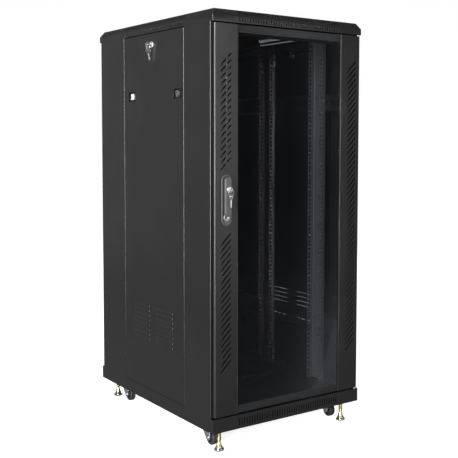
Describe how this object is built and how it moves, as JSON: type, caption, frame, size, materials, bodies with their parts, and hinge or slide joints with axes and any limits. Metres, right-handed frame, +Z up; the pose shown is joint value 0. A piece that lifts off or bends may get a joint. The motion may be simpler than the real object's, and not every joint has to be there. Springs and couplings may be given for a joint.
{
  "type": "server rack cabinet",
  "caption": "Free-standing network rack cabinet with a tinted glass front door, removable louvred side panels, square-hole mounting rails, levelling feet and casters.",
  "frame": {"origin": "on the floor, under the centre of the cabinet", "axes": "+Z up; -Y out of the glass front door; +X to the right of someone facing it, where the door's hinges are"},
  "size_m": [0.647, 0.878, 1.385],
  "materials": {
    "frame_paint": "satin black powder coat",
    "rail_paint": "satin black powder coat",
    "panel_paint": "fine satin black powder coat",
    "tinted_glass": "tinted tempered glass",
    "seal_rubber": "matt",
    "handle_grey": "dark grey satin paint",
    "zinc": "bright zinc plate",
    "chrome": "polished",
    "key_steel": "nickel plate",
    "wheel_rubber": "matt",
    "yellow_zinc": "yellow zinc plate"
  },
  "bodies": {
    "cabinet": {"base_frame": "frame_paint", "top_frame": "frame_paint", "top_cap": "frame_paint", "cable_covers": "frame_paint", "post_front_left": "frame_paint", "post_front_right": "frame_paint", "post_rear_left": "frame_paint", "post_rear_right": "frame_paint", "brace_lower_left": "frame_paint", "brace_lower_right": "frame_paint", "brace_upper_left": "frame_paint", "brace_upper_right": "frame_paint", "rail_front_left": "rail_paint", "rail_front_right": "rail_paint", "rail_rear_left": "rail_paint", "rail_rear_right": "rail_paint", "rail_bolts": "zinc", "hinge_pins": "zinc", "caster_plates": "zinc"},
    "front_door": {"front_door_frame": "panel_paint", "door_glass": "tinted_glass", "glass_seal": "seal_rubber", "handle_plate": "handle_grey", "rod_guides": "zinc"},
    "handle_boss": {"handle_hub": "zinc"},
    "handle_swing_lever": {"handle_lever": "handle_grey"},
    "handle_lock": {"handle_lock_plug": "chrome", "handle_key": "key_steel"},
    "handle_key_ring": {"handle_spare_key": "key_steel"},
    "upper_rod": {"lock_rod_upper": "zinc"},
    "lower_rod": {"lock_rod_lower": "zinc"},
    "back_door": {"rear_door": "panel_paint", "rear_lock_barrel": "chrome"},
    "back_door_lock": {"rear_lock_plug": "chrome", "rear_key": "key_steel"},
    "panel_left": {"side_panel_left": "panel_paint", "side_lock_barrel_left": "chrome"},
    "panel_right": {"side_panel_right": "panel_paint", "side_lock_barrel_right": "chrome"},
    "panel_lock_left": {"side_lock_plug_left": "chrome", "side_key_left": "key_steel"},
    "panel_lock_right": {"side_lock_plug_right": "chrome", "side_key_right": "key_steel"},
    "panel_key_ring": {"side_spare_key": "key_steel"},
    "slide_latch_front_left": {"latch_front_left": "zinc"},
    "slide_latch_front_right": {"latch_front_right": "zinc"},
    "slide_latch_rear_left": {"latch_rear_left": "zinc"},
    "slide_latch_rear_right": {"latch_rear_right": "zinc"},
    "caster_front_left": {"caster_fork_front_left": "zinc"},
    "wheel_front_left": {"caster_wheel_front_left": "wheel_rubber"},
    "levelling_foot_front_left": {"foot_front_left": "yellow_zinc"},
    "caster_front_right": {"caster_fork_front_right": "zinc"},
    "wheel_front_right": {"caster_wheel_front_right": "wheel_rubber"},
    "levelling_foot_front_right": {"foot_front_right": "yellow_zinc"},
    "caster_rear_left": {"caster_fork_rear_left": "zinc"},
    "wheel_rear_left": {"caster_wheel_rear_left": "wheel_rubber"},
    "levelling_foot_rear_left": {"foot_rear_left": "yellow_zinc"},
    "caster_rear_right": {"caster_fork_rear_right": "zinc"},
    "wheel_rear_right": {"caster_wheel_rear_right": "wheel_rubber"},
    "levelling_foot_rear_right": {"foot_rear_right": "yellow_zinc"}
  },
  "joints": [
    {"name": "front_door_hinge", "type": "hinge", "parent": "cabinet", "child": "front_door", "pos_m": [0.29, -0.393, 0.73], "axis": [0, 0, 1], "range_deg": [0, 120]},
    {"name": "handle_turn", "type": "hinge", "parent": "front_door", "child": "handle_boss", "pos_m": [-0.252, -0.4, 0.746], "axis": [0, 1, 0], "range_deg": [0, 90]},
    {"name": "lever_lift", "type": "hinge", "parent": "handle_boss", "child": "handle_swing_lever", "pos_m": [-0.252, -0.4125, 0.746], "axis": [1, 0, 0], "range_deg": [0, 35]},
    {"name": "lever_key_turn", "type": "hinge", "parent": "handle_swing_lever", "child": "handle_lock", "pos_m": [-0.252, -0.419, 0.833], "axis": [0, 1, 0], "range_deg": [0, 90]},
    {"name": "handle_key_ring_swing", "type": "hinge", "parent": "handle_lock", "child": "handle_key_ring", "pos_m": [-0.252, -0.43, 0.833], "axis": [1, 0, 0], "range_deg": [-60, 6]},
    {"name": "upper_rod_slide", "type": "slide", "parent": "front_door", "child": "upper_rod", "axis": [0, 0, -1], "range_m": [0, 0.01101]},
    {"name": "lower_rod_slide", "type": "slide", "parent": "front_door", "child": "lower_rod", "axis": [0, 0, 1], "range_m": [0, 0.01101]},
    {"name": "rear_door_hinge", "type": "hinge", "parent": "cabinet", "child": "back_door", "pos_m": [0.29, 0.393, 0.73], "axis": [0, 0, -1], "range_deg": [0, 120]},
    {"name": "rear_key_turn", "type": "hinge", "parent": "back_door", "child": "back_door_lock", "pos_m": [-0.222, 0.4, 0.8], "axis": [0, 1, 0], "range_deg": [0, 90]},
    {"name": "side_panel_left_off", "type": "slide", "parent": "cabinet", "child": "panel_left", "axis": [-1, 0, 0], "range_m": [0, 0.3]},
    {"name": "panel_key_left_turn", "type": "hinge", "parent": "panel_left", "child": "panel_lock_left", "pos_m": [-0.3, -0.014, 1.305], "axis": [1, 0, 0], "range_deg": [0, 90]},
    {"name": "side_panel_right_off", "type": "slide", "parent": "cabinet", "child": "panel_right", "axis": [1, 0, 0], "range_m": [0, 0.3]},
    {"name": "panel_key_right_turn", "type": "hinge", "parent": "panel_right", "child": "panel_lock_right", "pos_m": [0.3, -0.014, 1.305], "axis": [1, 0, 0], "range_deg": [0, 90]},
    {"name": "panel_key_ring_swing", "type": "hinge", "parent": "panel_lock_left", "child": "panel_key_ring", "pos_m": [-0.3145, -0.014, 1.305], "axis": [0, 1, 0], "range_deg": [-2, 60]},
    {"name": "latch_front_left_draw", "type": "slide", "parent": "panel_left", "child": "slide_latch_front_left", "axis": [0, 1, 0], "range_m": [0, 0.008], "stiffness_N_per_m": 300, "springref_m": -0.005},
    {"name": "latch_front_right_draw", "type": "slide", "parent": "panel_right", "child": "slide_latch_front_right", "axis": [0, 1, 0], "range_m": [0, 0.008], "stiffness_N_per_m": 300, "springref_m": -0.005},
    {"name": "latch_rear_left_draw", "type": "slide", "parent": "panel_left", "child": "slide_latch_rear_left", "axis": [0, -1, 0], "range_m": [0, 0.008], "stiffness_N_per_m": 300, "springref_m": -0.005},
    {"name": "latch_rear_right_draw", "type": "slide", "parent": "panel_right", "child": "slide_latch_rear_right", "axis": [0, -1, 0], "range_m": [0, 0.008], "stiffness_N_per_m": 300, "springref_m": -0.005},
    {"name": "swivel_front_left", "type": "hinge", "parent": "cabinet", "child": "caster_front_left", "pos_m": [-0.245, -0.29, 0.064], "axis": [0, 0, 1], "continuous": true},
    {"name": "wheel_front_left_spin", "type": "hinge", "parent": "caster_front_left", "child": "wheel_front_left", "pos_m": [-0.245, -0.308, 0.026], "axis": [1, 0, 0], "continuous": true},
    {"name": "foot_front_left_level", "type": "slide", "parent": "cabinet", "child": "levelling_foot_front_left", "axis": [0, 0, 1], "range_m": [-0.01, 0.02]},
    {"name": "swivel_front_right", "type": "hinge", "parent": "cabinet", "child": "caster_front_right", "pos_m": [0.245, -0.29, 0.064], "axis": [0, 0, 1], "continuous": true},
    {"name": "wheel_front_right_spin", "type": "hinge", "parent": "caster_front_right", "child": "wheel_front_right", "pos_m": [0.245, -0.308, 0.026], "axis": [1, 0, 0], "continuous": true},
    {"name": "foot_front_right_level", "type": "slide", "parent": "cabinet", "child": "levelling_foot_front_right", "axis": [0, 0, 1], "range_m": [-0.01, 0.02]},
    {"name": "swivel_rear_left", "type": "hinge", "parent": "cabinet", "child": "caster_rear_left", "pos_m": [-0.245, 0.29, 0.064], "axis": [0, 0, 1], "continuous": true},
    {"name": "wheel_rear_left_spin", "type": "hinge", "parent": "caster_rear_left", "child": "wheel_rear_left", "pos_m": [-0.245, 0.272, 0.026], "axis": [1, 0, 0], "continuous": true},
    {"name": "foot_rear_left_level", "type": "slide", "parent": "cabinet", "child": "levelling_foot_rear_left", "axis": [0, 0, 1], "range_m": [-0.01, 0.02]},
    {"name": "swivel_rear_right", "type": "hinge", "parent": "cabinet", "child": "caster_rear_right", "pos_m": [0.245, 0.29, 0.064], "axis": [0, 0, 1], "continuous": true},
    {"name": "wheel_rear_right_spin", "type": "hinge", "parent": "caster_rear_right", "child": "wheel_rear_right", "pos_m": [0.245, 0.272, 0.026], "axis": [1, 0, 0], "continuous": true},
    {"name": "foot_rear_right_level", "type": "slide", "parent": "cabinet", "child": "levelling_foot_rear_right", "axis": [0, 0, 1], "range_m": [-0.01, 0.02]}
  ],
  "couplings": [
    {"joint": "upper_rod_slide", "follows": "handle_turn", "m_per_rad": 0.0070028},
    {"joint": "lower_rod_slide", "follows": "handle_turn", "m_per_rad": 0.0070028}
  ]
}
